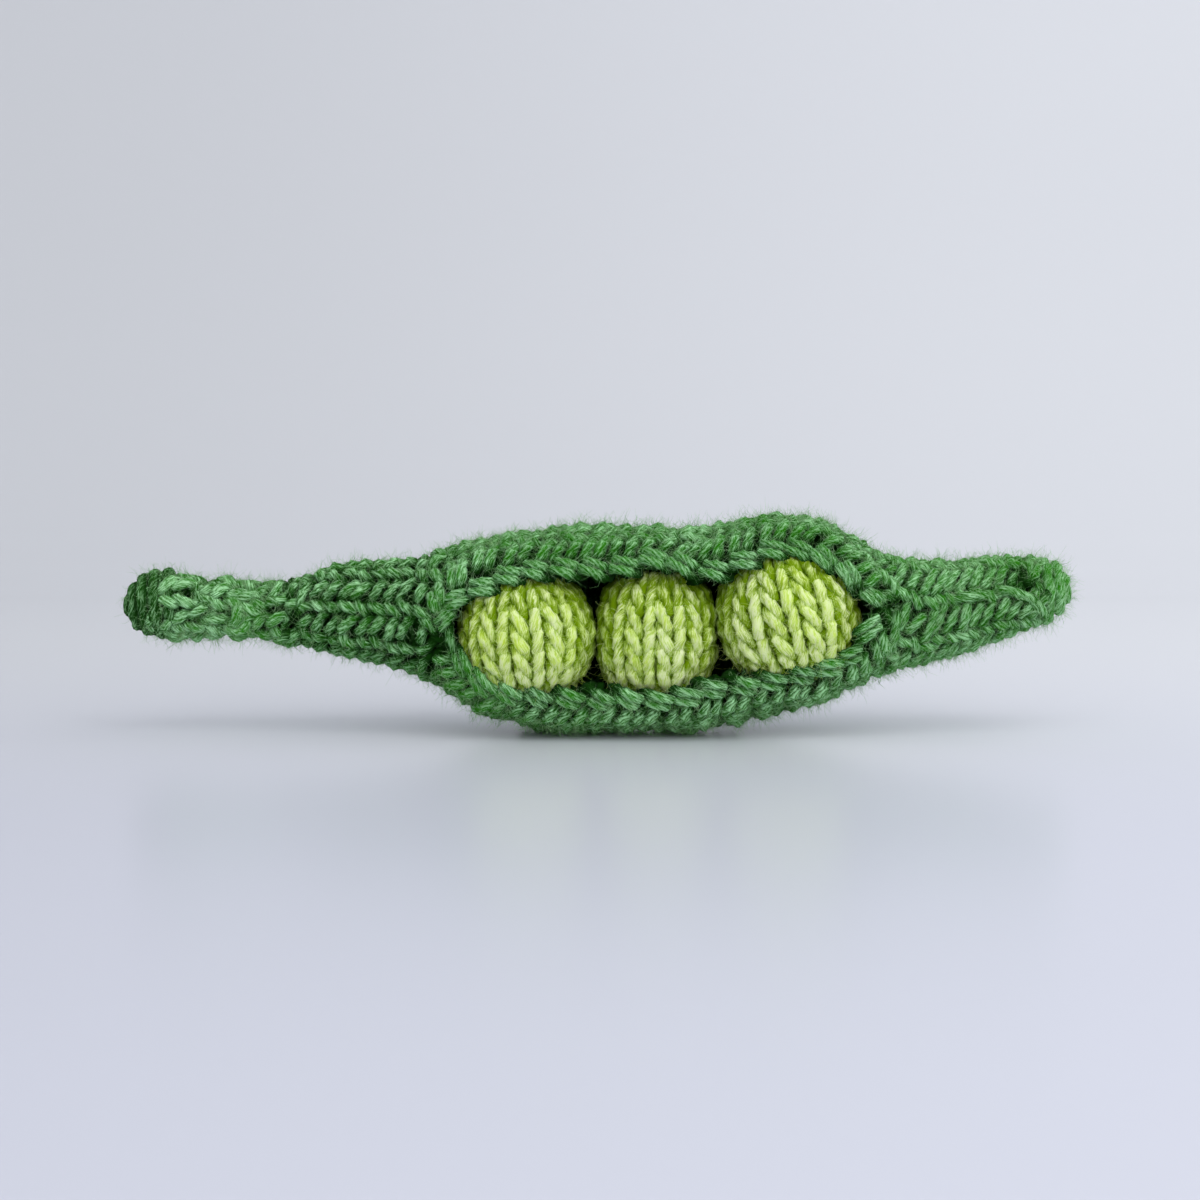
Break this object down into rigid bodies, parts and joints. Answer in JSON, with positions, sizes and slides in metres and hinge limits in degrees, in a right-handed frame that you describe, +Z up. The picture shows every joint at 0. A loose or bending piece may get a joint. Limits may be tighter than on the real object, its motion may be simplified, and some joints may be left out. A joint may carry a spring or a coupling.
{
  "type": "knitted pea pod toy",
  "caption": "Knitted wool pea pod lying on its side, with a cord stem, a stuffed tip and an open front that holds round stuffed peas in a row.",
  "frame": {"origin": "middle of the footprint, on the surface that the pod lies on", "axes": "+X along the pod from its stem to its tip, -Y out of its open mouth, +Z up"},
  "size_m": [0.1346, 0.0259, 0.031],
  "materials": {
    "pod_wool": "matt, fuzzy plied wool in leaf green, knitted in plain stitch",
    "pea_wool": "matt, fuzzy plied wool in pale lime, knitted in plain stitch",
    "fibre": "loose off-white stuffing fibre"
  },
  "bodies": {
    "root": {"pod_casing": "pod_wool", "neck_filling": "fibre", "tip_filling": "fibre", "stem_end_yarn": "pod_wool", "tip_end_yarn": "pod_wool", "tip_seam_yarn": "pod_wool", "pea_cover_left": "pea_wool", "pea_cover_middle": "pea_wool", "pea_cover_right": "pea_wool", "pea_filling_left": "fibre", "pea_filling_middle": "fibre", "pea_filling_right": "fibre", "pea_closing_yarn_left": "pea_wool", "pea_closing_yarn_middle": "pea_wool", "pea_closing_yarn_right": "pea_wool"}
  },
  "joints": []
}
